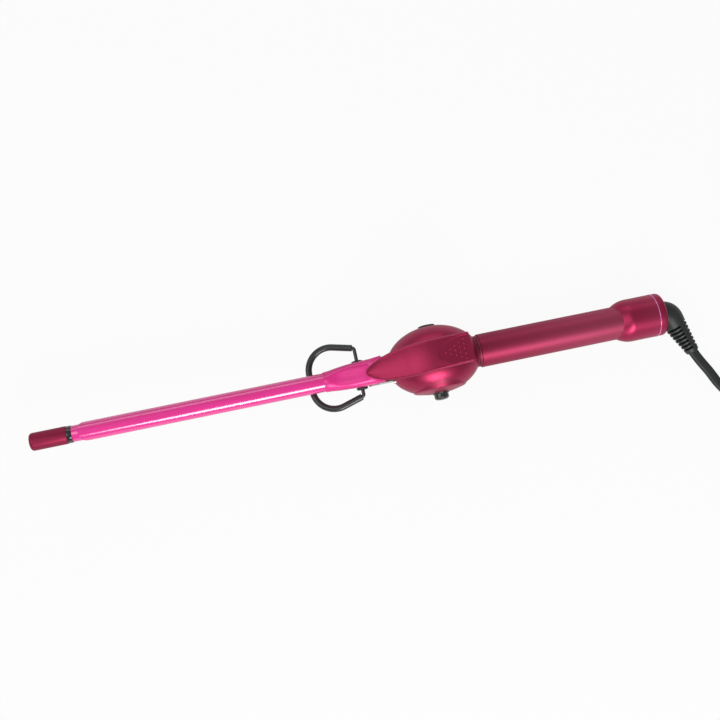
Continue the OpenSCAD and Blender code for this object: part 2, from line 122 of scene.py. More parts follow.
def put(name, data):
    """A new object in the scene."""
    thing = bpy.data.objects.new(name, data)
    bpy.context.scene.collection.objects.link(thing)
    return thing


# ---------------- camera, light and stage
VIEW_DISTANCE = 583.3
HALF_SENSOR = 18
LENS = 52.5
TIP_NEARER = math.radians(6)
LEAN = math.radians(7)
ROLL = math.radians(11.45)
LOOKED_AT = 182.9
ABOVE_ROD = 8.45
KEY_ROLL = 24
WORLD_LIGHT = 0.34
WORLD_WHITE = 0.98
FLOOR_HALF = 6.0
FLOOR_DROP = 0.0002


def make_camera():
    """A camera over the rod, leaning a little and rolled so that the handle rises to the right."""
    lean_down = math.sin(LEAN) * rod_y - math.cos(LEAN) * rod_z
    ahead = math.sin(TIP_NEARER) * rod_x + math.cos(TIP_NEARER) * lean_down
    along = (rod_x - rod_x.dot(ahead) * ahead).normalized()
    across = along.cross(ahead)
    right = math.cos(ROLL) * along - math.sin(ROLL) * across
    up = math.sin(ROLL) * along + math.cos(ROLL) * across
    place = on_rod(LOOKED_AT, 0, 0) - VIEW_DISTANCE * MM * ahead + ABOVE_ROD * MM * up
    camera = put("camera", bpy.data.cameras.new("camera"))
    turn = Matrix((right, up, -ahead)).transposed().to_4x4()
    camera.matrix_world = Matrix.Translation(place) @ turn
    camera.data.angle = 2 * math.atan(HALF_SENSOR / LENS)
    camera.data.clip_start = 0.01
    bpy.context.scene.camera = camera


def softbox(name, over, direction, distance, size, length, power, roll=0.0):
    """A rectangular lamp that looks at one place on the rod, its length along the rod."""
    lamp = bpy.data.lights.new(name, "AREA")
    lamp.shape = "RECTANGLE"
    lamp.size = length
    lamp.size_y = size
    lamp.energy = power
    box = put(name, lamp)
    towards = Vector(direction).normalized()
    side = towards.cross(rod_x).normalized()
    turn = Matrix((side.cross(towards), side, towards)).transposed().to_4x4()
    turn = turn @ Matrix.Rotation(math.radians(roll), 4, "Z")
    box.matrix_world = Matrix.Translation(on_rod(over, 0, 0) + towards * distance) @ turn


# ---------------- shader writing
class Value:
    """A shader socket that takes part in Python sums; each sum adds a Math node."""

    def __init__(self, paint, socket):
        self.paint = paint
        self.socket = socket

    def math(self, operation, first, second):
        return self.paint.add("ShaderNodeMath", {"operation": operation}, {0: first, 1: second})

    def __add__(self, other):
        return self.math("ADD", self, other)

    __radd__ = __add__

    def __mul__(self, other):
        return self.math("MULTIPLY", self, other)

    __rmul__ = __mul__

    def __sub__(self, other):
        return self.math("SUBTRACT", self, other)

    def __rsub__(self, other):
        return self.math("SUBTRACT", other, self)

    def smooth(self, low, high):
        """0 below low, 1 above high and a soft step between."""
        settings = {"interpolation_type": "SMOOTHSTEP"}
        return self.paint.add("ShaderNodeMapRange", settings, {0: self, 1: low, 2: high})


class Paint:
    """The node tree of a new material, or of a new world."""

    def __init__(self, name, kind="materials"):
        self.material = getattr(bpy.data, kind).new(name)
        self.material.use_nodes = True
        self.nodes = self.material.node_tree.nodes
        self.links = self.material.node_tree.links
        self.nodes.clear()

    def add(self, kind, settings, inputs, output=0):
        node = self.nodes.new(kind)
        for key, value in settings.items():
            setattr(node, key, value)
        for key, value in inputs.items():
            if isinstance(value, Value):
                self.links.new(value.socket, node.inputs[key])
            else:
                node.inputs[key].default_value = value
        return Value(self, node.outputs[output])

    def place(self):
        return self.add("ShaderNodeTexCoord", {}, {}, "Object")

    def noise(self, scale, detail=3, where=None):
        inputs = {"Vector": where or self.place(), "Scale": scale, "Detail": detail}
        return self.add("ShaderNodeTexNoise", {}, inputs)

    def stretched(self, x, y, z):
        return self.add("ShaderNodeVectorMath", {"operation": "MULTIPLY"},
                        {0: self.place(), 1: (x, y, z)})

    def blend(self, factor, first, second):
        """A colour between two colours, by the factor."""
        inputs = {"Factor": factor, 6: first, 7: second}
        return self.add("ShaderNodeMix", {"data_type": "RGBA"}, inputs, 2)

    def bump(self, height, strength, distance):
        inputs = {"Height": height, "Strength": strength, "Distance": distance}
        return self.add("ShaderNodeBump", {}, inputs)

    def worn(self):
        """1 along sharp outer edges, 0 elsewhere."""
        pointiness = self.add("ShaderNodeNewGeometry", {}, {}, "Pointiness")
        return pointiness.smooth(0.52, 0.60)

    def finish(self, **sockets):
        inputs = {key.replace("_", " "): value for key, value in sockets.items()}
        return self.done(self.add("ShaderNodeBsdfPrincipled", {}, inputs))

    def mixed(self, factor, first, second, output="ShaderNodeOutputMaterial"):
        """Ends the tree with a mix of two shaders."""
        return self.done(self.add("ShaderNodeMixShader", {}, {0: factor, 1: first, 2: second}), output)

    def done(self, surface, output="ShaderNodeOutputMaterial"):
        end = self.nodes.new(output)
        self.links.new(surface.socket, end.inputs["Surface"])
        return self.material


def rgb(r, g, b):
    return (r, g, b, 1.0)


def satin_burgundy(name, depth, sheen):
    """Metallic satin paint on moulded plastic: a fine flake and a soft deep-pink glow."""
    paint = Paint(name)
    flake = paint.noise(5200, 1)
    cloud = paint.noise(38, 3)
    deep = rgb(0.45 * depth, 0.026 * depth, 0.092 * depth)
    bright = rgb(0.55 * depth, 0.034 * depth, 0.117 * depth)
    colour = paint.blend((flake * 0.7 + cloud * 0.3).smooth(0.32, 0.68), deep, bright)
    colour = paint.blend(paint.worn() * 0.4, colour, rgb(0.66, 0.13, 0.23))
    roughness = cloud * 0.06 + sheen
    grain = paint.bump(paint.noise(2600, 2), 0.10, 0.00015)
    return paint.finish(Base_Color=colour, Metallic=0.88, Roughness=roughness, Normal=grain,
                        Coat_Weight=0.12, Coat_Roughness=0.4)


def pink_barrel():
    """Glossy hot-pink anodised coating with faint drawing marks along the tube."""
    paint = Paint("pink_barrel")
    drawn = paint.noise(900, 3, paint.stretched(0.04, 1, 1))
    cloud = paint.noise(30, 3)
    colour = paint.blend(drawn.smooth(0.3, 0.7), rgb(0.90, 0.008, 0.29), rgb(0.98, 0.012, 0.35))
    roughness = cloud * 0.08 + 0.20
    grain = paint.bump(drawn, 0.008, 0.0001)
    return paint.finish(Base_Color=colour, Metallic=0.05, Roughness=roughness, Normal=grain,
                        Coat_Weight=1.0, Coat_Roughness=0.14, Coat_IOR=1.8)


def pink_scoop():
    """The same pink on the pressed clip base, a little softer where it was stretched."""
    paint = Paint("pink_scoop")
    cloud = paint.noise(60, 3)
    colour = paint.blend(cloud.smooth(0.3, 0.7), rgb(0.84, 0.012, 0.25), rgb(0.94, 0.018, 0.31))
    grain = paint.bump(paint.noise(700, 3), 0.05, 0.0001)
    return paint.finish(Base_Color=colour, Metallic=0.2, Roughness=cloud * 0.08 + 0.30,
                        Normal=grain, Coat_Weight=0.6, Coat_Roughness=0.28, Coat_IOR=1.6)


def pink_trim():
    paint = Paint("pink_trim")
    cloud = paint.noise(80, 2)
    colour = paint.blend(cloud, rgb(0.85, 0.22, 0.55), rgb(0.95, 0.34, 0.68))
    return paint.finish(Base_Color=colour, Metallic=0.5, Roughness=cloud * 0.05 + 0.2,
                        Coat_Weight=0.6, Coat_Roughness=0.1)


def moulded_black(name, tone, roughness, grain_size, grain_depth, coat):
    """Black plastic with a moulded grain, slightly paler where edges are rubbed."""
    paint = Paint(name)
    cloud = paint.noise(90, 3)
    dark = rgb(tone * 0.8, tone * 0.9, tone * 0.9)
    colour = paint.blend(cloud, dark, rgb(tone, tone * 1.15, tone * 1.15))
    colour = paint.blend(paint.worn() * 0.35, colour, rgb(tone * 4, tone * 4.2, tone * 4.4))
    grain = paint.bump(paint.noise(grain_size, 3), grain_depth, 0.0002)
    return paint.finish(Base_Color=colour, Roughness=cloud * 0.10 + roughness, Normal=grain,
                        Coat_Weight=coat, Coat_Roughness=0.08)


def plated_steel(name, tone, roughness):
    """Nickel or zinc plating with rolling marks."""
    paint = Paint(name)
    rolled = paint.noise(1400, 3, paint.stretched(0.06, 1, 1))
    cloud = paint.noise(120, 3)
    colour = paint.blend(rolled, rgb(tone * 0.92, tone * 0.93, tone * 0.95), rgb(tone, tone, tone))
    grain = paint.bump(rolled, 0.03, 0.0001)
    return paint.finish(Base_Color=colour, Metallic=1.0, Roughness=cloud * 0.12 + roughness,
                        Normal=grain)


def plain_part(name, first, second, roughness, scale=300, metallic=0.0):
    """Hidden parts: two close colours in a fine mottle."""
    paint = Paint(name)
    mottle = paint.noise(scale, 4)
    colour = paint.blend(mottle.smooth(0.35, 0.65), rgb(*first), rgb(*second))
    grain = paint.bump(mottle, 0.2, 0.0002)
    return paint.finish(Base_Color=colour, Metallic=metallic, Roughness=mottle * 0.1 + roughness,
                        Normal=grain)


def print_white():
    paint = Paint("print_white")
    worn = paint.noise(900, 3).smooth(0.2, 0.6)
    colour = paint.blend(worn, rgb(0.55, 0.50, 0.52), rgb(0.85, 0.83, 0.84))
    return paint.finish(Base_Color=colour, Roughness=worn * 0.1 + 0.45)


def pale_floor():
    """Diffuse white that looks plain white from the camera but keeps a faint shadow."""
    paint = Paint("pale_floor")
    speck = paint.noise(40, 2)
    tone = paint.blend(speck, rgb(0.78, 0.78, 0.78), rgb(0.80, 0.80, 0.80))
    matte = paint.add("ShaderNodeBsdfDiffuse", {}, {"Color": tone})
    glow = paint.add("ShaderNodeEmission", {}, {"Color": rgb(1, 1, 1), "Strength": 1.0})
    rays = [paint.add("ShaderNodeLightPath", {}, {}, output) for output in
            ("Is Camera Ray", "Is Glossy Ray", "Is Transmission Ray")]
    seen = rays[0] * 0.93 + rays[1] * 0.28 + rays[2] * 0.4
    return paint.mixed(seen, matte, glow)


def make_world():
    """Even light on the object, and plain white where the camera sees past the floor."""
    sky = Paint("studio", "worlds")
    light, white = (sky.add("ShaderNodeBackground", {}, {"Color": rgb(1, 1, 1), "Strength": strength})
                    for strength in (WORLD_LIGHT, WORLD_WHITE))
    seen = sky.add("ShaderNodeLightPath", {}, {}, "Is Camera Ray")
    bpy.context.scene.world = sky.mixed(seen, light, white, "ShaderNodeOutputWorld")


def make_stage():
    mesh = bpy.data.meshes.new("floor")
    corners = ((-1, -1), (1, -1), (1, 1), (-1, 1))
    points = [(x * FLOOR_HALF, y * FLOOR_HALF, -FLOOR_DROP) for x, y in corners]
    mesh.from_pydata(points, [], [(0, 1, 2, 3)])
    mesh.materials.append(pale_floor())
    put("floor", mesh)


# ---------------- mesh writing
def through(points, x):
    """Height of a smooth curve through (x, height) points."""
    xs = [point[0] for point in points]
    ys = [point[1] for point in points]
    if x <= xs[0]:
        return ys[0]
    if x >= xs[-1]:
        return ys[-1]
    i = max(k for k in range(len(xs) - 1) if xs[k] <= x)

    def slope(k):
        a, b = max(k - 1, 0), min(k + 1, len(xs) - 1)
        return (ys[b] - ys[a]) / (xs[b] - xs[a])

    width = xs[i + 1] - xs[i]
    t = (x - xs[i]) / width
    first = (2 * t ** 3 - 3 * t ** 2 + 1) * ys[i] + (t ** 3 - 2 * t ** 2 + t) * width * slope(i)
    last = (3 * t ** 2 - 2 * t ** 3) * ys[i + 1] + (t ** 3 - t ** 2) * width * slope(i + 1)
    return first + last


def smooth_step(x, low, high):
    t = min(max((x - low) / (high - low), 0), 1)
    return t * t * (3 - 2 * t)


def mix(a, b, t):
    return a + (b - a) * t


def corners_of(left, right, low, high, radius):
    return [(left, low, radius), (right, low, radius), (right, high, radius), (left, high, radius)]


def rounded(corners, steps=5):
    """A closed outline whose corners (x, y, radius) are rounded with arcs; a corner (x, y) is sharp."""
    points = []
    for i, corner in enumerate(corners):
        here = Vector(corner[:2])
        if len(corner) < 3:
            points.append(tuple(here))
            continue
        back = Vector(corners[i - 1][:2]) - here
        ahead = Vector(corners[(i + 1) % len(corners)][:2]) - here
        half = back.angle(ahead) / 2
        reach = min(corner[2] / math.tan(half), 0.49 * back.length, 0.49 * ahead.length)
        radius = reach * math.tan(half)
        middle = here + (back.normalized() + ahead.normalized()).normalized() * radius / math.sin(half)
        first = here + back.normalized() * reach - middle
        last = here + ahead.normalized() * reach - middle
        turn = first.angle_signed(last)
        for k in range(steps + 1):
            a = -turn * k / steps
            spoke = Vector((first.x * math.cos(a) - first.y * math.sin(a),
                            first.x * math.sin(a) + first.y * math.cos(a)))
            points.append(tuple(middle + spoke))
    return points


def soften(shape, crease):
    """Smooth shading everywhere except over edges sharper than the crease angle."""
    for edge in shape.edges:
        edge.smooth = len(edge.link_faces) == 2 and edge.calc_face_angle(0) < math.radians(crease)
    for face in shape.faces:
        face.smooth = True


def build(name, points, faces, crease=35):
    """A mesh object from points in metres, with its seams closed and its creases kept sharp."""
    mesh = bpy.data.meshes.new(name)
    mesh.from_pydata([tuple(point) for point in points], [], faces)
    shape = bmesh.new()
    shape.from_mesh(mesh)
    bmesh.ops.remove_doubles(shape, verts=shape.verts, dist=1e-6)
    bmesh.ops.dissolve_degenerate(shape, edges=shape.edges, dist=1e-7)
    bmesh.ops.recalc_face_normals(shape, faces=shape.faces)
    soften(shape, crease)
    shape.to_mesh(mesh)
    shape.free()
    return put(name, mesh)


def skin(rings, closed=False):
    """Points and faces over rings of equal length; closed joins the last ring to the first."""
    count = len(rings[0])
    points = [point for ring in rings for point in ring]
    faces = []
    pairs = len(rings) if closed else len(rings) - 1
    for i in range(pairs):
        a, b = i * count, (i + 1) % len(rings) * count
        faces += [(a + k, a + (k + 1) % count, b + (k + 1) % count, b + k) for k in range(count)]
    if not closed:
        faces.append(tuple(range(count))[::-1])
        faces.append(tuple(range(len(points) - count, len(points))))
    return points, faces


def turned(name, outline, spot, segments=96, start=0.0, sweep=math.tau):
    """A closed (radius, distance) outline turned about an axis; spot places a point."""
    closed = sweep == math.tau
    count = segments if closed else segments + 1
    rings = []
    for k in range(count):
        a = start + sweep * k / segments
        rings.append([spot(max(r, 0) * math.cos(a), max(r, 0) * math.sin(a), d) for r, d in outline])
    return build(name, *skin(rings, closed))


def rod_spot(a, b, s):
    return on_rod(s, a, b)


def side_spot(a, b, d):
    return on_rod(POD + a, -d, b)


def pivot_spot(a, b, y):
    return on_rod(PIVOT + a, y, b)


def frames_along(path, reference):
    """Side and up vectors along a path, carried without twist from a reference direction."""
    frames = []
    side = None
    for i in range(len(path)):
        ahead = (path[min(i + 1, len(path) - 1)] - path[max(i - 1, 0)]).normalized()
        base = reference if side is None else side
        side = (base - base.dot(ahead) * ahead).normalized()
        frames.append((side, ahead.cross(side)))
    return frames


def swept(name, path, section, reference, crease=35):
    """A solid swept along a path; section(i) gives its (side, up) points in metres at ring i."""
    rings = []
    for i, (side, up) in enumerate(frames_along(path, reference)):
        rings.append([path[i] + a * side + b * up for a, b in section(i)])
    return build(name, *skin(rings), crease=crease)


def circle(radius, sides):
    turn = 2 * math.pi / sides
    return [(radius * math.cos(turn * k), radius * math.sin(turn * k)) for k in range(sides)]


def cut(target, *cutters):
    """Takes the cutters' solids out of the target's mesh and keeps the result."""
    for cutter in cutters:
        step = target.modifiers.new("cut", "BOOLEAN")
        step.operation = "DIFFERENCE"
        step.solver = "EXACT"
        step.object = cutter
    bpy.context.view_layer.update()
    view = bpy.context.evaluated_depsgraph_get()
    mesh = bpy.data.meshes.new_from_object(target.evaluated_get(view))
    target.modifiers.clear()
    target.data = mesh
    for cutter in cutters:
        bpy.data.objects.remove(cutter)
    shape = bmesh.new()
    shape.from_mesh(mesh)
    soften(shape, 30)
    shape.to_mesh(mesh)
    shape.free()


def fit(thing, body, slot, material, *nodes):
    """Puts a finished piece on its body with its material, in place of its CAD nodes; the slot argument
    is not used.
    """
    thing.data.materials.clear()
    thing.data.materials.append(material)
    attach(thing, body)
    if nodes:
        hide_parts(*nodes)
    return thing


# ---------------- the finishes
burgundy = satin_burgundy("satin_burgundy", 0.84, 0.37)
tube_burgundy = satin_burgundy("tube_burgundy", 0.66, 0.48)
# A darkened copy of the satin burgundy: painted shade for the neck between the pod and the handle, which
# lies in the lever's shadow.
painted_shade_burgundy = satin_burgundy("painted_shade_burgundy", 0.3, 0.5)
barrel_pink = pink_barrel()
scoop_pink = pink_scoop()
trim_pink = pink_trim()
glossy_black = moulded_black("glossy_black", 0.012, 0.12, 700, 0.04, 0.8)
satin_black = moulded_black("satin_black", 0.018, 0.34, 2200, 0.22, 0.1)
sleeve_black = moulded_black("sleeve_black", 0.020, 0.26, 900, 0.10, 0.35)
rubber_black = moulded_black("rubber_black", 0.022, 0.42, 2600, 0.25, 0.0)
bright_steel = plated_steel("bright_steel", 0.66, 0.22)
dark_steel = plated_steel("dark_steel", 0.10, 0.30)
nickel = plated_steel("nickel", 0.72, 0.18)
brass = plain_part("brass", (0.62, 0.42, 0.14), (0.70, 0.50, 0.20), 0.25, 500, 1.0)


# ---------------- cord, hank, tie and plug
LEAD_ROUTE = [
    (195, -23, 6), (198, -29, 5.2), (202, -36, 4.2), (206, -44, 3.4), (211, -51, 2.8),
    (218, -57, 2.8), (227, -60.6, 3), (238, -61, 3.4), (248, -60.4, 3.6), (256, -60, 3.6),
]
TAIL_ROUTE = [
    (367, -31, 16.4), (362, -26.5, 17.4), (355, -24.2, 18.8), (347, -25.2, 20.6),
    (339, -29, 22.4), (331.5, -33.8, 23.6), (324, -37, 24.1),
]
CORD_STEP = 1.35
TWIST = (30, 62)


def smooth_route(points, step):
    """A Catmull-Rom curve through the points, resampled at even steps, all in millimetres."""
    points = [Vector(point) for point in points]
    ends = [2 * points[0] - points[1]] + points + [2 * points[-1] - points[-2]]
    fine = []
    for a, b, c, d in zip(ends, ends[1:], ends[2:], ends[3:]):
        for k in range(12):
            t = k / 12
            curve = 2 * b + (c - a) * t + (2 * a - 5 * b + 4 * c - d) * t * t
            fine.append((curve + (3 * b - a - 3 * c + d) * t ** 3) / 2)
    fine.append(points[-1])
    spaced = [fine[0]]
    left = step
    for a, b in zip(fine, fine[1:]):
        span = (b - a).length
        while span >= left > 0:
            a = a + (b - a) * left / span
            spaced.append(a)
            span = (b - a).length
            left = step
        left -= span
    if (spaced[-1] - fine[-1]).length > 0.4 * step:
        spaced.append(fine[-1])
    else:
        spaced[-1] = fine[-1]
    return spaced


def hank_half_turn(radius, level, rise, side):
    """Points of a run that draws in to the tie, then the fold at its end; side is 1 towards +X."""
    half = HANK_RUN / 2
    waist = HANK_WAIST * (radius - CORD_THICK / 2) / (HANK_R + CORD_THICK / 2)
    points = []
    for x in (-0.62, -0.30, 0.0, 0.30, 0.62):
        drawn = mix(waist, radius, smooth_step(abs(x), 0.05, 0.95))
        points.append((side * x * half, -side * drawn, level))
    for angle in (-90, -54, -18, 18, 54, 90):
        a = math.radians(angle)
        bend = (side * (half + radius * math.cos(a)), side * radius * math.sin(a))
        points.append((*bend, level + rise * (angle + 90) / 180))
    return [(HANK_X + x, HANK_Y + y, z) for x, y, z in points]


def cord_route():
    """The lead, five and a half turns of the hank in two columns and three layers, and the tail."""
    route = list(LEAD_ROUTE[:-1]) + [(258, -60, 3.6)]
    radii = (HANK_R, HANK_INNER_R, HANK_INNER_R, HANK_R, HANK_R, HANK_INNER_R)
    for turn, radius in enumerate(radii):
        layer = turn // 2
        level = HANK_BASE + LAYER * (layer + 0.5)
        rise = LAYER / 2 if turn % 2 and layer < 2 else 0
        first = hank_half_turn(radius, level, 0, 1)
        if turn == 5:
            first = first[:7]
        if turn == 0:
            first = first[1:]
        route += first
        if turn < 5:
            route += hank_half_turn(radius, level, 2 * rise, -1)
    return route + list(TAIL_ROUTE)


def oval_cord(width, thick):
    """Section of a flat twin cord with a shallow valley down the middle of each face."""
    sides = 20
    points = []
    for k in range(sides):
        a = 2 * math.pi * k / sides
        wide = math.copysign(abs(math.cos(a)) ** 0.6, math.cos(a)) * width / 2
        valley = 1 - 0.16 * math.exp(-(math.cos(a) / 0.22) ** 2)
        points.append((wide * MM, math.sin(a) * thick / 2 * valley * MM))
    return points


def make_cord():
    """One flat cord: it leaves the relief face up and turns on its edge on the way to the hank."""
    points = [on_table(*point) for point in smooth_route(cord_route(), CORD_STEP)]
    up = Vector((0, 0, 1))
    section = oval_cord(CORD_LOOK, CORD_THICK)
    plug_from = len(points) - 34
    rings = []
    for i, point in enumerate(points):
        ahead = (points[min(i + 1, len(points) - 1)] - points[max(i - 1, 0)]).normalized()
        level = ahead.cross(up).normalized()
        normal = level.cross(ahead)
        turn = smooth_step(i, *TWIST) - smooth_step(i, plug_from, len(points) - 3)
        c, s = math.cos(turn * math.pi / 2), math.sin(turn * math.pi / 2)
        wide = c * level + s * normal
        thin = c * normal - s * level
        rings.append([point + a * wide + b * thin for a, b in section])
    cord = build("mains_cord", *skin(rings))
    fit(cord, "swivel", "black_rubber", rubber_black, "cord_lead", "cord_hank", "cord_tail")
    return cord, points


def make_tie():
    """A flat strap round the hank's waist: a rounded band swept round a closed loop."""
    low, high = HANK_BASE - 0.4, HANK_BASE + 3 * LAYER + 0.4
    half = HANK_WAIST + 0.4
    loop = rounded(corners_of(-half, half, low, high, 2.2), 8)
    band = rounded(corners_of(-4.5, 4.5, -0.35, 0.35, 0.3), 3)
    rings = []
    for y, z in loop:
        out = Vector((0, y, z - (low + high) / 2)).normalized()
        rings.append([on_table(HANK_X + x, HANK_Y + y, z) + out * o * MM for x, o in band])
    strap = build("hank_strap", *skin(rings, closed=True))
    return fit(strap, "swivel", "black_rubber", satin_black, "hank_tie")


def make_plug():
    """A flat two-pin plug: a waisted grip, a ribbed relief and two pins with insulated roots."""
    rings = []
    for i in range(25):
        t = i / 24
        x = GRIP_START - GRIP_LENGTH * t
        swell = 1 - 0.10 * math.exp(-((t - 0.42) / 0.2) ** 2) - 0.16 * (1 - smooth_step(t, 0, 0.22))
        near_end = max(0, abs(t - 0.5) - 0.44) / 0.06
        end = math.sqrt(max(0, 1 - near_end ** 2))
        wide, thick = 17.4 * swell * mix(0.93, 1, end), 6.8 * swell * mix(0.8, 1, end)
        corners = [(-wide, 0, 1.5), (-wide + 4.6, thick, 1.6), (wide - 4.6, thick, 1.6),
                   (wide, 0, 1.5), (wide - 4.6, -thick, 1.6), (-wide + 4.6, -thick, 1.6)]
        rings.append([on_table(x, PLUG_Y + a, PLUG_Z + b) for a, b in rounded(corners, 4)])
    body = fit(build("plug_grip", *skin(rings)), "swivel", "black_rubber", rubber_black, "plug_body")

    def plug_spot(y):
        return lambda a, b, d: on_table(d, PLUG_Y + y + a, PLUG_Z + b)

    ribs = [(0, GRIP_START - 0.5)]
    reach = 22
    for k in range(7):
        r = mix(4.9, 3.4, k / 6)
        x = GRIP_START - 0.5 + reach * k / 7
        ribs += [(r, x), (r - 0.1, x + 1.9), (r - 0.8, x + 2.1), (r - 0.85, x + 2.9)]
    ribs += [(3.0, GRIP_START + reach - 0.5), (0, GRIP_START + reach - 0.5)]
    relief = fit(turned("plug_sleeve", ribs, plug_spot(0), 48), "swivel", "black_rubber",
                 rubber_black, "plug_relief")
    pins, sleeves = [], []
    face = GRIP_START - GRIP_LENGTH
    for side, place in (("left", plug_spot(-PIN_APART)), ("right", plug_spot(PIN_APART))):
        outline = rounded([(0, face - 19), (PIN_R, face - 19, 1.2), (PIN_R, face + 1), (0, face + 1)], 6)
        pins.append(turned("pin", outline, place, 32))
        cover = rounded([(PIN_R, face - 10, 0.1), (PIN_SLEEVE_R, face - 10, 0.1),
                         (PIN_SLEEVE_R, face + 1), (PIN_R, face + 1)], 3)
        sleeve = turned("plug_pin_sleeve_" + side, cover, place, 32)
        sleeves.append(fit(sleeve, "swivel", "black_rubber", satin_black))
    pair = fit(join(pins, "plug_pin_pair"), "swivel", "plug_nickel", nickel, "plug_pins")
    return [body, relief, pair, *sleeves]


def join(things, name):
    """Merges meshes into the first thing, which takes the name."""
    whole = bmesh.new()
    for thing in things:
        whole.from_mesh(thing.data)
    mesh = bpy.data.meshes.new(name)
    whole.to_mesh(mesh)
    whole.free()
    for thing in things[1:]:
        bpy.data.objects.remove(thing)
    things[0].data = mesh
    things[0].name = name
    return things[0]


# ---------------- swivelling strain relief
RELIEF_LENGTH = (on_table(*LEAD_ROUTE[0]) - on_rod(ELBOW, 0, 0)).length / MM
RELIEF_SLOTS = 7
SLOT_PITCH = 2.4
SLOT_WIDE = 1.4
SLOT_START = 8.8
SLOT_DEPTH = 1.8
SPINE = math.radians(-6)
BEND = 4.8
NECK_END_R = 6.9
TAIL_END_R = 3.75


def make_relief():
    """The elbow and its cone in one sweep; slots cross both faces and leave two smooth spines."""
    elbow = on_rod(ELBOW, 0, 0)
    root = on_rod(REAR - 3.0, 0, 0)
    ahead = (on_table(*LEAD_ROUTE[0]) - elbow).normalized()
    first = elbow - rod_x * BEND * MM
    last = elbow + ahead * BEND * MM
    path, radii, slots = [root], [6.2], [0]
    for k in range(15):
        t = k / 14
        path.append(first * (1 - t) ** 2 + elbow * 2 * t * (1 - t) + last * t ** 2)
        radii.append(NECK_END_R + 0.4 * math.sin(math.pi * t))
        slots.append(0)
    stations = [(BEND + 1.2, 0, 0)]
    for k in range(RELIEF_SLOTS):
        d = SLOT_START + k * SLOT_PITCH
        stations += [(d - 0.12, 0, 0), (d + 0.02, 1, 0),
                     (d + SLOT_WIDE - 0.02, 1, 0), (d + SLOT_WIDE + 0.12, 0, 0)]
    stations += [(RELIEF_LENGTH - 1.0, 0, 0), (RELIEF_LENGTH - 0.3, 0, 0.12), (RELIEF_LENGTH, 0, 0.5)]
    for d, slot, drop in stations:
        path.append(elbow + ahead * d * MM)
        radii.append(mix(NECK_END_R, TAIL_END_R, (d - BEND) / (RELIEF_LENGTH - BEND)) - drop)
        slots.append(slot)

    def section(i):
        points = []
        for k in range(96):
            a = 2 * math.pi * k / 96
            off = abs((a - SPINE + math.pi / 2) % math.pi - math.pi / 2)
            face = smooth_step(off, math.radians(15), math.radians(19))
            r = radii[i] - SLOT_DEPTH * slots[i] * face
            points.append((r * math.cos(a) * MM, r * math.sin(a) * MM))
        return points

    relief = swept("cord_strain_relief", path, section, rod_z, crease=40)
    return fit(relief, "swivel", "black_rubber", rubber_black, "strain_relief")


make_camera()
make_world()
make_stage()
softbox("key_light", 200, rod_z * 0.60 - rod_y * 0.80, 1.0, 0.38, 0.56, 6.0, KEY_ROLL)
softbox("fill_light", 190, rod_z * 0.5 + rod_y * 0.87, 1.3, 0.5, 1.3, 2.1)
softbox("front_light", 190, rod_z * 0.74 - rod_x * 0.67, 1.1, 0.6, 0.8, 2.3)

cord, cord_path = make_cord()
relief = make_relief()
strap = make_tie()
plug_set = make_plug()


# ---------------- barrel and clip
def make_barrel():
    tip = rounded([(0, TIP_START), (TIP_R, TIP_START, 1.9), (TIP_R, TIP_END, 0.3),
                   (3.9, TIP_END), (3.9, TIP_PLUG_END), (0, TIP_PLUG_END)], 8)
    fit(turned("tip_plug", tip, rod_spot), "root", "satin_burgundy", tube_burgundy, "tip_cap")
    ring = rounded([(BORE_R, TIP_END), (SPACER_R, TIP_END, 0.25), (SPACER_R, SPACER_END, 0.25),
                    (BORE_R, SPACER_END)])
    fit(turned("tip_ring", ring, rod_spot), "root", "gloss_black", glossy_black, "tip_spacer")
    tube = rounded([(BORE_R, SPACER_END), (BARREL_R, SPACER_END, 0.2), (BARREL_R, BARREL_END, 0.2),
                    (BORE_R, BARREL_END)], 4)
    fit(turned("heated_barrel", tube, rod_spot, 128), "root", "pink_barrel", barrel_pink, "barrel_tube")


def strip_ring(s, half_angle):
    """Section of the clip's curved sheet: outer arc, rounded edge, inner arc, rounded edge."""
    count = 28
    middle, thick = (CLIP_IN + CLIP_OUT) / 2, (CLIP_OUT - CLIP_IN) / 2
    polar = []
    for side, arc in ((1, CLIP_OUT), (-1, CLIP_IN)):
        for k in range(count + 1):
            polar.append((arc, side * half_angle * (1 - 2 * k / count)))
        for k in range(1, 5):
            b = math.pi * k / 5
            past = half_angle + thick * math.sin(b) / middle
            polar.append((middle + side * thick * math.cos(b), -side * past))
    return [on_rod(s, -r * math.sin(a), r * math.cos(a)) for r, a in polar]


def make_spoon():
    """A half tube of thin sheet whose front end is a rounded tongue."""
    full = math.radians(92)
    nose = 7.0
    rings = []
    for k in range(15):
        t = (k / 14) ** 1.7
        wide = math.sqrt(max(0.0, 1 - (1 - t) ** 2))
        rings.append(strip_ring(CLIP_START + nose * t, full * max(wide, 0.06)))
    for k in range(1, 41):
        rings.append(strip_ring(mix(CLIP_START + nose, CLIP_END, k / 40), full))
    fit(build("clip_blade", *skin(rings)), "clip", "pink_barrel", barrel_pink, "clip_spoon")


BASE_START = 162.4
BASE_END = 194.8
EAR_R = 3.1
EAR_END = 187.2
BASE_HALF = [(162.4, 5.45), (163.4, 5.65), (166, 5.85), (170, 6.35), (176, 6.85), (183, 7.15),
             (189, 7.25), (195, 7.3)]
BASE_TOP = [(162.4, 5.5), (163.4, 5.8), (166, 6.3), (172, 7.2), (178, 8.5), (184, 9.9), (189, 11.0),
            (195, 13.0)]
BASE_LOW = [(162.4, 0.0), (166, 0.4), (172, 1.8), (178, 3.4), (183, 3.9), (189, 5.2),
            (192, 8.2), (195, 11)]


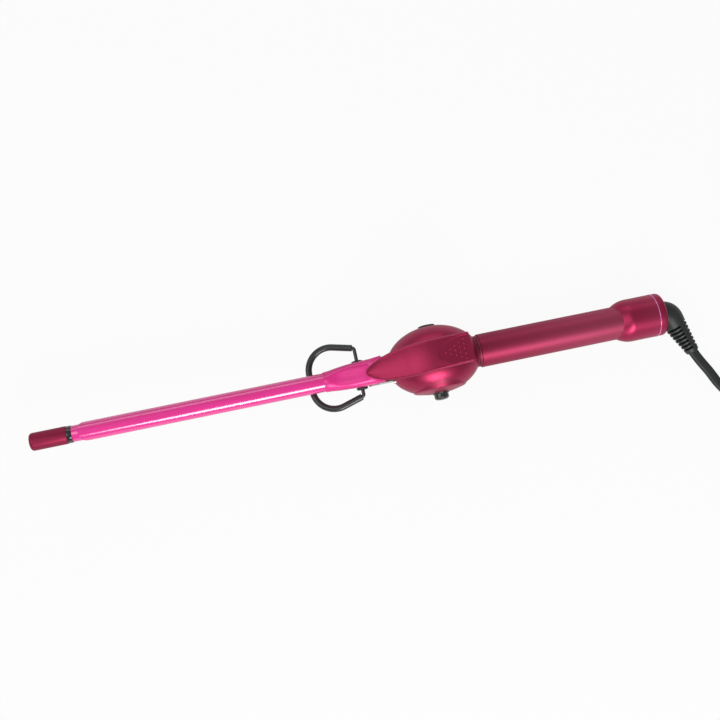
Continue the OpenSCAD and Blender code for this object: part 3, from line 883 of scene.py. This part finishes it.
def base_ring(s, shrink):
    """Arch of the clip base at one station: a soft dish on top between two rounded shoulders."""
    half = through(BASE_HALF, s) - shrink
    top = through(BASE_TOP, s) - shrink
    low = through(BASE_LOW, s)
    square = mix(1.0, 0.72, smooth_step(s, 161, 176))
    points = []
    for k in range(33):
        a = math.pi * k / 32
        y = math.copysign(abs(math.cos(a)) ** square, math.cos(a)) * half
        z = low + (top - low) * math.sin(a) ** square
        dish = 0.75 * smooth_step(s, 163.5, 170) + 3.0 * smooth_step(s, 188, 193)
        dish *= math.exp(-(y / (0.52 * half)) ** 2)
        points.append((y, z - dish))
    return points


def make_scoop():
    """The pressed base of the clip, from the half tube to the ears at the pivot."""
    rings = []
    for k in range(51):
        s = mix(BASE_START, BASE_END, k / 50)
        section = base_ring(s, 0) + base_ring(s, 0.55)[::-1]
        rings.append([on_rod(s, y, z) for y, z in section])
    parts = [build("clip_shoulder", *skin(rings), crease=50)]
    bottom = [math.pi + math.pi * k / 24 for k in range(25)]
    ear = [(PIVOT - EAR_R, 4.6)]
    ear += [(PIVOT + EAR_R * math.cos(a), EAR_R * math.sin(a)) for a in bottom]
    ear += [(PIVOT + EAR_R, 0.6), (EAR_END, 3.6), (EAR_END, 4.6)]
    for side in (-1, 1):
        rings = [[on_rod(s, side * y, z) for s, z in ear] for y in (5.9, 6.3)]
        parts.append(build("ear", *skin(rings)))
    scoop = join(parts, "clip_shoulder")
    cut(scoop, turned("hole", [(0, -9), (2.1, -9), (2.1, 9), (0, 9)], pivot_spot, 48))
    join([scoop, tongue_plate()], "clip_shoulder")
    fit(scoop, "clip", "pink_barrel", scoop_pink, "clip_base")


SLOPE = math.radians(27)


def on_slope(d, y, h):
    """A point on the lever's sloping underside: along it, across, and square out from it."""
    s = 186 + d * math.cos(SLOPE) - h * math.sin(SLOPE)
    return on_rod(s, y, 9.2 + d * math.sin(SLOPE) + h * math.cos(SLOPE))


def tongue_plate():
    outline = rounded([(-1.5, -4.5), (-1.5, 4.5), (21.4, 4.5, 3.4), (21.4, -4.5, 3.4)], 8)
    rings = [[on_slope(d, y, h) for d, y in outline] for h in (-0.82, -0.04)]
    return build("tongue", *skin(rings))


# ---------------- thumb lever
LEVER_FRONT = 185.4
LEVER_REAR = 242.2
LEVER_NOSE = 26
LEVER_HALF = [(207, 8.6), (213, 8.6), (226, 8.5), (243, 8.25)]
LEVER_TOP = [(185.4, 10.9), (188.5, 12.75), (195, 16.0), (205, 21.4), (211, 24.8), (218, 27.3),
             (225, 28.6), (234, 29.3), (243, 29.4)]
LEVER_UNDER = [(185.4, 10.0), (187, 9.75), (195, 13.8), (206, 19.5), (212, 22.4), (218, 24.6),
               (225, 25.8), (234, 26.3), (243, 26.35)]
DISH = (238, 14.8, 7.3)
DOT_FIRST = 227.6
DOT_PITCH = 2.65


def lever_half(s):
    if s < LEVER_FRONT + LEVER_NOSE:
        t = 1 - (s - LEVER_FRONT) / LEVER_NOSE
        return through(LEVER_HALF, 207) * max(0.0, 1 - t * t) ** 0.58
    return through(LEVER_HALF, s)


def lever_line(s):
    """The lever sits a touch askew: its own centre line across the rod."""
    return mix(-0.75, 0.4, (s - LEVER_FRONT) / (LEVER_REAR - LEVER_FRONT))


def dish_depth(s, y):
    middle, long, wide = DISH
    off = math.hypot((s - middle) / long, (y + 0.3) / wide)
    return 0.15 * (1 - smooth_step(off, 0.95, 1.0)) + 0.95 * max(0.0, 1 - off * off)


def lever_skin(s, y, half):
    """Height of the lever's top: a faint crown, a bead along each edge and the thumb's dish."""
    q = y / half
    bead = 0.48 * math.exp(-((half - abs(y) - 0.50) / 0.36) ** 2) * smooth_step(s, 187, 200)
    return through(LEVER_TOP, s) - 0.8 * q * q + bead - dish_depth(s, y)


def make_lever():
    rings = []
    across = [math.sin(math.pi / 2 * (k / 24 - 1)) for k in range(49)]
    count = 110
    for i in range(count + 1):
        p = i / count
        t = p * p * 0.35 + p * 0.65
        s = mix(LEVER_FRONT + 0.12, LEVER_REAR, t)
        half = lever_half(s)
        tuck = min(0.55, half * 0.5)
        ring = []

        def point(y, z):
            q = abs(y) / max(half, 0.1)
            round_off = (0.4 * q * q + 0.9 * q ** 16) * smooth_step(t, 0.78, 1.0)
            return on_rod(s - round_off, y + lever_line(s), z)

        for q in across:
            y = q * (half - 0.25)
            edge = 0.45 * smooth_step(abs(y), half - 0.95, half - 0.2)
            ring.append(point(y, lever_skin(s, y, half) - edge))
        top = lever_skin(s, half, half)
        under = min(through(LEVER_UNDER, s), top - 0.5)
        ring.append(point(half, mix(top, under, 0.35)))
        ring.append(point(half - 0.05, mix(top, under, 0.8)))
        ring += [point((half - tuck) * (1 - k / 4), under) for k in range(9)]
        ring.append(point(-half + 0.05, mix(top, under, 0.8)))
        ring.append(point(-half, mix(top, under, 0.35)))
        rings.append(ring)
    lever = build("thumb_rest", *skin(rings), crease=48)
    fit(lever, "clip", "satin_burgundy", burgundy, "thumb_lever")
    dots = []
    for column in range(5):
        for row in range(column + 1):
            s = DOT_FIRST + DOT_PITCH * column
            y = DOT_PITCH * (row - column / 2) - 0.2
            dots.append(thumb_dot(s, y))
    fit(join(dots, "thumb_dots"), "clip", "satin_burgundy", burgundy)


def thumb_dot(s, y):
    """One raised grip dot that stands on the dish."""
    base = through(LEVER_TOP, s) - 0.8 * (y / lever_half(s)) ** 2 - dish_depth(s, y)
    outline = [(0, -0.3), (0.68, -0.3), (0.66, 0.0)]
    outline += [(0.60 * math.cos(a), 0.10 + 0.40 * math.sin(a)) for a in (0.2, 0.5, 0.8, 1.1, 1.35)]
    outline.append((0, 0.5))
    return turned("dot", outline, lambda a, b, d: on_rod(s + a, y + b + lever_line(s), base + d), 18)


# ---------------- pivot and stand
STAND_HALF = 17.3
STAND_LENGTH = 27.8
CORNER_R = 12.5
BEND_R = 1.3
WIRE_R = 1.0
SLEEVE_R = 1.65
SLEEVE_LOOK = 1.85
STAND_SHIFT = 1.9
FOLD = math.asin((BARREL_R + SLEEVE_R + 0.4) / STAND_LENGTH)


def on_stand(x, y, z=0.0):
    """A point in the stand's own plane, folded about the pivot and slid a little to one side."""
    return on_rod(PIVOT + x * math.cos(FOLD) - z * math.sin(FOLD), y + STAND_SHIFT,
                  x * math.sin(FOLD) + z * math.cos(FOLD))


def stand_half_line():
    """One side of the stand's wire: its bend by the pivot, then the leg and half of the bow."""
    bend_at = Vector((-BEND_R, 12.6))
    corner_at = Vector((CORNER_R - STAND_LENGTH, STAND_HALF - CORNER_R))
    between = bend_at - corner_at
    flare = math.atan2(between.x, between.y) - math.acos((CORNER_R - BEND_R) / between.length)
    turn = math.pi / 2 - flare
    bend = [bend_at + BEND_R * Vector((math.cos(turn * k / 6), math.sin(turn * k / 6))) for k in range(7)]
    corner = []
    for k in range(29):
        a = turn + (math.pi / 2 + flare) * k / 28
        corner.append(corner_at + CORNER_R * Vector((math.cos(a), math.sin(a))))
    leg = [bend[-1].lerp(corner[0], t) for t in (0.01, 0.03, 0.4, 0.7)]
    return bend, leg + corner


def both_ways(line):
    return line + [Vector((point.x, -point.y)) for point in reversed(line)]


def make_stand():
    bend, leg = stand_half_line()
    start = [Vector((0, y)) for y in (5.3, 7, 9, 11)]
    wire = [on_stand(*point) for point in both_ways(start + bend + leg)]
    piece = swept("stand_rod", wire, lambda i: circle(WIRE_R * MM, 20), Vector((0, 0, 1)))
    fit(piece, "stand", "stand_steel", dark_steel, "stand_wire")
    sleeve_line = [on_stand(*point) for point in both_ways(leg)]
    last = len(sleeve_line) - 1

    def section(i):
        r = SLEEVE_LOOK - (0.2 if i in (0, last) else 0)
        return circle(r * MM, 28)

    sleeve = swept("stand_cover", sleeve_line, section, Vector((0, 0, 1)))
    fit(sleeve, "stand", "black_sleeve", sleeve_black, "stand_sleeve")


def make_bushings():
    halves = []
    for side in (-1, 1):
        corners = [(1.06, 5.0), (2.05, 5.0, 0.1), (2.05, 6.66), (3.15, 6.66, 0.2), (3.15, 8.0, 0.3),
                   (2.2, 8.3, 0.2), (1.06, 8.3)]
        halves.append(turned("bushing", [(r, side * y) for r, y in rounded(corners, 4)], pivot_spot, 48))
    fit(join(halves, "pivot_caps"), "root", "gloss_black", satin_black, "pivot_bushings")


# ---------------- pod
def pod_spot(a, b, s):
    """A spot on the pod, whose section is a little squarer than a circle at its middle."""
    r = math.hypot(a, b)
    square = (abs(a / r) ** POD_SQUARE + abs(b / r) ** POD_SQUARE) ** (-1 / POD_SQUARE)
    share = 1 - ((s - POD) / POD_CUT) ** 2
    swell = 1 + (square - 1) * share
    return on_rod(s, a * swell, b * swell)


def oval_r(s, inset=0.0):
    return (POD_B - inset) * math.sqrt(max(0.0, 1 - ((s - POD) / (POD_A - inset)) ** 2))


def pod_outline():
    """Closed outline of the pod's wall, from the front opening over the back and inside again."""
    steps = 40
    walls = []
    for inset in (0.0, SHELL):
        reach = POD_CUT - inset
        places = [mix(POD - reach, POD + reach, k / steps) for k in range(steps + 1)]
        walls.append([(oval_r(s, inset), s) for s in places])
    front, back = POD - POD_CUT, POD + POD_CUT
    return ([(POD_MOUTH_R, front)] + walls[0] + [(HANDLE_BORE, back), (HANDLE_BORE, back - SHELL)]
            + walls[1][::-1] + [(POD_MOUTH_R, front + SHELL)])


def side_drill(radius, near, far, segments):
    """A cylinder across the pod, to cut an opening in its shells."""
    return turned("drill", [(0, near), (radius, near), (radius, far), (0, far)], side_spot, segments)


def make_pod():
    gap = 0.004
    halves = (("pod_upper_shell", "pod_top", 0.0), ("pod_lower_shell", "pod_bottom", math.pi))
    for name, node, start in halves:
        shell = turned(name, pod_outline(), pod_spot, 96, start + gap, math.pi - 2 * gap)
        cutters = [side_drill(COVER_R + 0.05, 6, 26, 96), side_drill(DIAL_R + 0.3, -10, -26, 64)]
        if node == "pod_bottom":
            cutters.append(foot_cutter())
        cut(shell, *cutters)
        fit(shell, "root", "satin_burgundy", burgundy, node)


def foot_cutter():
    """The block that levels the pod's foot with the table."""
    middle = on_rod(POD, 0, 0)
    low, high = middle.z - (FOOT + 6) * MM, middle.z - FOOT * MM
    spread = 15 * MM
    corners = ((-1, -1), (1, -1), (1, 1), (-1, 1))
    rings = [[Vector((middle.x + a * spread, middle.y + b * spread, z)) for a, b in corners]
             for z in (low, high)]
    return build("foot_block", *skin(rings))


def make_cover():
    outline = rounded([
        (COVER_R - 1.6, 11.6), (COVER_R + 1.1, 11.6), (COVER_R - 0.5, COVER_FACE - 0.5, 0.5),
        (13.4, COVER_FACE + 0.05, 1.2), (10.4, COVER_FACE + 0.7, 4), (7.4, BOSS_FACE - 0.25, 3),
        (BUTTON_R + 0.75, BOSS_FACE, 0.2), (BUTTON_R + 0.75, BOSS_FACE - 2),
        (COVER_R - 1.6, COVER_FACE - 2)])
    fit(turned("button_plate", outline, side_spot, 128), "root", "satin_burgundy", burgundy, "side_cover")
    collar = rounded([
        (BUTTON_R + 0.1, BOSS_FACE - 2.4), (BUTTON_R + 0.7, BOSS_FACE - 2.4),
        (BUTTON_R + 0.7, BOSS_FACE + 0.1, 0.1), (BUTTON_R + 0.55, BOSS_FACE + 0.6, 0.2),
        (BUTTON_R + 0.1, BOSS_FACE + 0.6, 0.15)], 4)
    ring = turned("button_ring", collar, side_spot, 64)
    fit(ring, "root", "gloss_black", glossy_black, "button_collar")
    button = rounded([
        (0, 14.4), (1.6, 14.4), (1.6, 15), (BUTTON_R, 15), (BUTTON_R, BUTTON_FACE - 1.1, 0.5),
        (BUTTON_R - 1.0, BUTTON_FACE - 0.25, 0.6), (2.2, BUTTON_FACE - 0.05, 0.6),
        (1.6, BUTTON_FACE - 0.25, 0.4), (0, BUTTON_FACE - 0.3)])
    push = turned("power_push", button, side_spot, 64)
    fit(push, "button", "gloss_black", glossy_black, "power_button")


def make_dial():
    """A low black wheel with finger teeth round its rim and a pointer groove in its face."""
    teeth = 24
    steps = teeth * 8

    def wheel(radius, y, tooth_depth):
        ring = []
        for k in range(steps):
            a = 2 * math.pi * k / steps
            tooth = 0.5 - 0.5 * math.cos(teeth * a)
            r = radius - tooth_depth * tooth ** 1.5
            ring.append(on_rod(POD + r * math.cos(a), y, r * math.sin(a)))
        return ring

    rim = [(DIAL_R, 16.5), (DIAL_R, 19.45), (DIAL_R - 0.12, 19.75), (DIAL_R - 0.4, 19.95),
           (DIAL_R - 0.9, DIAL_FACE)]
    rings = [wheel(r, y, 0.42) for r, y in rim]
    rings += [wheel(3.2, DIAL_FACE, 0), wheel(2.9, DIAL_FACE - 0.25, 0)]
    fit(build("heat_dial", *skin(rings)), "dial", "black_plastic", satin_black, "temperature_dial")
    mark = rounded(corners_of(-0.35, 0.35, 0.9, 2.7, 0.3), 4)
    rings = [[on_rod(POD + a, y, b) for a, b in mark] for y in (DIAL_FACE - 0.3, DIAL_FACE - 0.05)]
    fit(build("dial_mark", *skin(rings)), "dial", "black_plastic", print_white())


def digit_spot(s, z):
    """The spot on the pod's dial side at this height, found by halving."""
    low, high = 0.0, math.pi / 2
    pivot = on_rod(s, 0, 0)
    for _ in range(18):
        angle = (low + high) / 2
        spot = pod_spot(oval_r(s) * math.cos(angle), oval_r(s) * math.sin(angle), s)
        if (spot - pivot).dot(rod_z) < abs(z) * MM:
            low = angle
        else:
            high = angle
    side = (spot - pivot).dot(rod_y) / MM + 0.05
    return on_rod(s, side, z)


def make_digits():
    """Plain step numbers printed on the pod round the dial."""
    marks = []
    for k, text in enumerate("12345"):
        a = math.radians(140 + 28 * k)
        font = bpy.data.curves.new("digit", "FONT")
        font.body = text
        font.size = 2.6
        font.align_x = "CENTER"
        font.align_y = "CENTER"
        font.resolution_u = 3
        letter = put("digit", font)
        bpy.context.view_layer.update()
        view = bpy.context.evaluated_depsgraph_get()
        flat = bpy.data.meshes.new_from_object(letter.evaluated_get(view))
        bpy.data.objects.remove(letter)
        shape = bmesh.new()
        shape.from_mesh(flat)
        turn = a - math.pi / 2
        for point in shape.verts:
            x = -point.co.x
            y = point.co.y
            s = POD + DIGIT_RING * math.cos(a) + x * math.cos(turn) - y * math.sin(turn)
            z = DIGIT_RING * math.sin(a) + x * math.sin(turn) + y * math.cos(turn)
            point.co = digit_spot(s, z)
        shape.to_mesh(flat)
        shape.free()
        marks.append(put("dial_digits", flat))
    fit(join(marks, "dial_digits"), "root", "pink_trim", print_white())


# ---------------- handle
def cap_spot(a, b, s):
    """The cap's mouth is scalloped: it starts further back above and below than at the sides."""
    scallop = 2.8 * b * b / (a * a + b * b) * (1 - smooth_step(s, CAP_START, CAP_START + 10))
    return on_rod(s + scallop, a, b)


def make_handle():
    back = POD + POD_CUT
    neck = rounded([(HANDLE_BORE, back), (NECK_R + 0.2, back), (NECK_R, back + 0.8, 0.3),
                    (NECK_R, HANDLE_START), (HANDLE_BORE, HANDLE_START)], 4)
    # The neck takes the darkened burgundy: painted shade where the lever's rear end shadows the gap
    # before the handle.
    fit(turned("handle_neck", neck, rod_spot), "root", "satin_burgundy", painted_shade_burgundy, "front_collar")
    grip = rounded([(HANDLE_BORE, HANDLE_START), (HANDLE_R, HANDLE_START, 0.45),
                    (HANDLE_R, CAP_START + 5), (HANDLE_BORE, CAP_START + 5)], 6)
    tube = turned("handle_grip", grip, rod_spot, 128)
    fit(tube, "root", "satin_burgundy", tube_burgundy, "handle_tube")
    flare = [(CAP_R - 2.6 * (1 - k / 14) ** 2, CAP_START + CAP_FLARE * k / 14) for k in range(15)]
    cap = [(HANDLE_R + 0.06, CAP_START)] + flare + [(CAP_R, SEAM - 0.15), (CAP_R - 0.15, SEAM)]
    cap += [(CAP_BORE, SEAM), (CAP_BORE, CAP_START + 9), (HANDLE_R + 0.06, CAP_START + 6)]
    fit(turned("handle_cap", cap, cap_spot, 128), "root", "satin_burgundy", burgundy, "end_cap")
    seam = rounded([(CAP_BORE, SEAM), (CAP_R + 0.14, SEAM, 0.2), (CAP_R + 0.14, SEAM_END, 0.2),
                    (CAP_BORE, SEAM_END)], 4)
    fit(turned("cap_ring", seam, rod_spot, 128), "root", "pink_trim", trim_pink, "seam_ring")
    rear = rounded([(CAP_BORE, SEAM_END), (CAP_R, SEAM_END, 0.2), (CAP_R - 0.05, REAR, 1.7),
                    (8.0, REAR + 0.02, 0.6), (7.2, REAR - 0.5, 0.5), (5.07, REAR - 0.5),
                    (5.07, REAR - 2.3), (CAP_BORE, REAR - 2.3)], 8)
    fit(turned("rear_collar", rear, rod_spot, 128), "root", "satin_burgundy", burgundy, "end_collar")


for make in (make_barrel, make_spoon, make_scoop, make_lever, make_stand, make_bushings,
             make_pod, make_cover, make_dial, make_digits, make_handle):
    make()


# ---------------- CAD nodes that stay
stay = {
    bright_steel: ["hinge_bracket", "lever_rivets", "pod_screws", "clip_spring"],
    satin_black: ["handle_core", "power_switch", "potentiometer"],
    brass: ["contact_rings", "contact_pins"],
    plain_part("ceramic", (0.80, 0.78, 0.72), (0.86, 0.84, 0.80), 0.7): ["heater_core"],
    plain_part("mica", (0.50, 0.38, 0.18), (0.66, 0.52, 0.28), 0.35, 900): ["heater_sleeve"],
    plain_part("glass_sleeving", (0.70, 0.70, 0.68), (0.82, 0.82, 0.80), 0.8, 1500): ["heater_leads"],
    plain_part("thermistor_glass", (0.08, 0.20, 0.30), (0.12, 0.28, 0.40), 0.1): ["heat_sensor"],
    plain_part("heat_board", (0.10, 0.07, 0.04), (0.17, 0.12, 0.07), 0.6):
        ["barrel_holder", "contact_carrier"],
    plain_part("board_green", (0.02, 0.12, 0.05), (0.04, 0.18, 0.07), 0.3, 700): ["circuit_board"],
    plain_part("board_parts", (0.30, 0.13, 0.03), (0.45, 0.22, 0.06), 0.4, 500): ["board_parts"],
    plain_part("brown_wire", (0.20, 0.08, 0.03), (0.28, 0.12, 0.05), 0.45, 400): ["mains_wires"],
}
for material, names in stay.items():
    for name in names:
        for slot in frame["nodes"][name].material_slots:
            slot.material = material

bpy.context.scene.view_settings.view_transform = "Standard"
